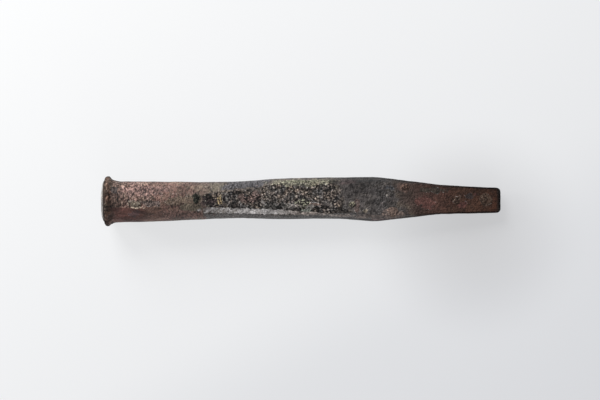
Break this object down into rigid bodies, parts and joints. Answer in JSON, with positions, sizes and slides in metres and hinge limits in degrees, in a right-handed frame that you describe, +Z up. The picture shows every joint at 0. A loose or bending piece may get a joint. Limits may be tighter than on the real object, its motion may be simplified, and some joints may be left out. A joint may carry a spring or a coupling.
{
  "type": "chisel",
  "caption": "Solid forged copper-alloy chisel: mushroomed striking head, round grip beaten flat into a shouldered body, wedge blade with a narrow edge, and burial deposits.",
  "frame": {"origin": "on the table that the chisel lies on, below the middle of its bounding box in plan", "axes": "+X from the striking head to the cutting edge, +Z up with the chisel lying on its lip and its flat underside, +Y to the far long side"},
  "size_m": [0.15, 0.0184, 0.0184],
  "materials": {
    "bronze": "matte brown and dark grey burial patina",
    "shank_scab": "matte mineral",
    "dark_green_nodule": "matte mineral",
    "tan_nodule": "matte mineral",
    "cream_nodule": "matte mineral",
    "malachite_crust": "matte mineral",
    "yellow_nodule": "matte mineral",
    "ochre_shoulder_crust": "matte mineral",
    "ochre_root_nodule": "matte mineral",
    "pale_blade_nodule": "matte mineral",
    "tan_tip_crust": "matte mineral"
  },
  "bodies": {
    "root": {"forged_bar": "bronze", "shank_scab": "shank_scab", "dark_green_nodule": "dark_green_nodule", "tan_nodule": "tan_nodule", "cream_nodule": "cream_nodule", "malachite_crust": "malachite_crust", "yellow_nodule": "yellow_nodule", "ochre_shoulder_crust": "ochre_shoulder_crust", "ochre_root_nodule": "ochre_root_nodule", "pale_blade_nodule": "pale_blade_nodule", "tan_tip_crust": "tan_tip_crust"}
  },
  "joints": []
}
